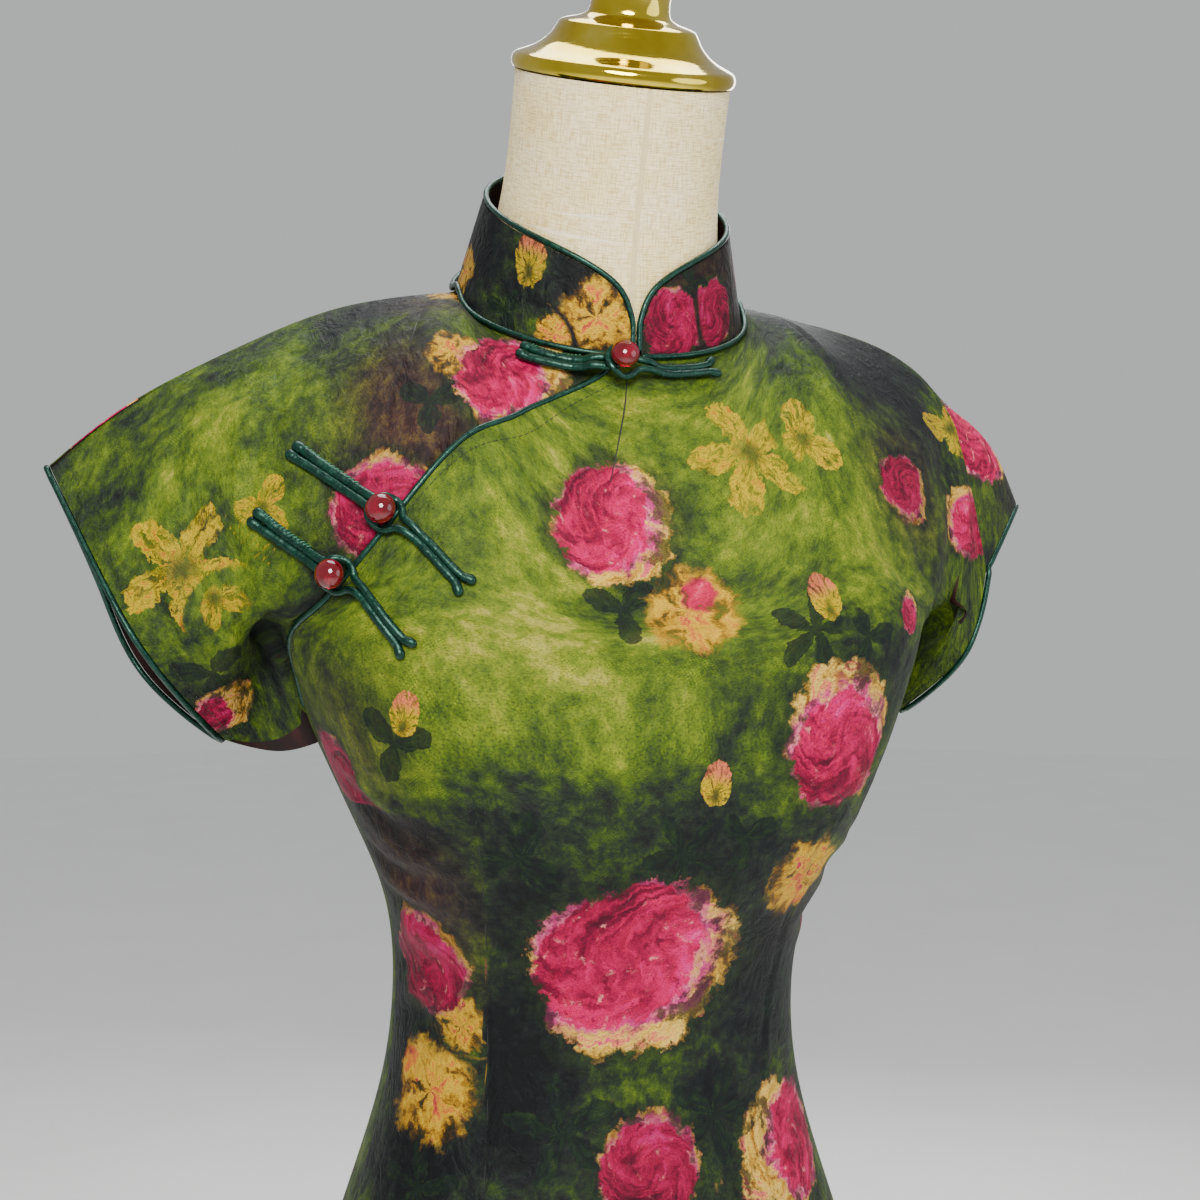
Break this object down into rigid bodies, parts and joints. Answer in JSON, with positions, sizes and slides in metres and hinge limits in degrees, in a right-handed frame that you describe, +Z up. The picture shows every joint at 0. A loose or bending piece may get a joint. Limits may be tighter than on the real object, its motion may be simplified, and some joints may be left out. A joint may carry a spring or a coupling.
{
  "type": "cheongsam dress on a limbless dress form",
  "caption": "Short-sleeved, knee-length cheongsam with a standing collar, a curved side closing and ball-button frogs, worn by a limbless linen dress form on a pole and round base.",
  "frame": {"origin": "middle of the whole part's box from above, on the floor under the base", "axes": "+Z up; the front of the dress faces -Y; the wearer's right is -X"},
  "size_m": [0.527, 0.35, 1.4941],
  "materials": {
    "print_silk": "soft low sheen, printed flowers",
    "green_satin": "satin",
    "red_glass": "glossy, slightly see-through",
    "linen": "matte plain weave",
    "polished_gold": "polished"
  },
  "bodies": {
    "root": {"form": "linen", "neck_cap": "polished_gold", "pole": "polished_gold", "base": "polished_gold", "front": "print_silk", "right_front": "print_silk", "back": "print_silk", "collar": "print_silk", "collar_piping": "green_satin", "neckline_piping": "green_satin", "placket_piping": "green_satin", "right_cuff_piping": "green_satin", "left_cuff_piping": "green_satin", "collar_frog_ball_wing": "green_satin", "collar_frog_loop_wing": "green_satin", "collar_frog_button": "red_glass", "upper_frog_ball_wing": "green_satin", "upper_frog_loop_wing": "green_satin", "upper_frog_button": "red_glass", "lower_frog_ball_wing": "green_satin", "lower_frog_loop_wing": "green_satin", "lower_frog_button": "red_glass"}
  },
  "joints": []
}
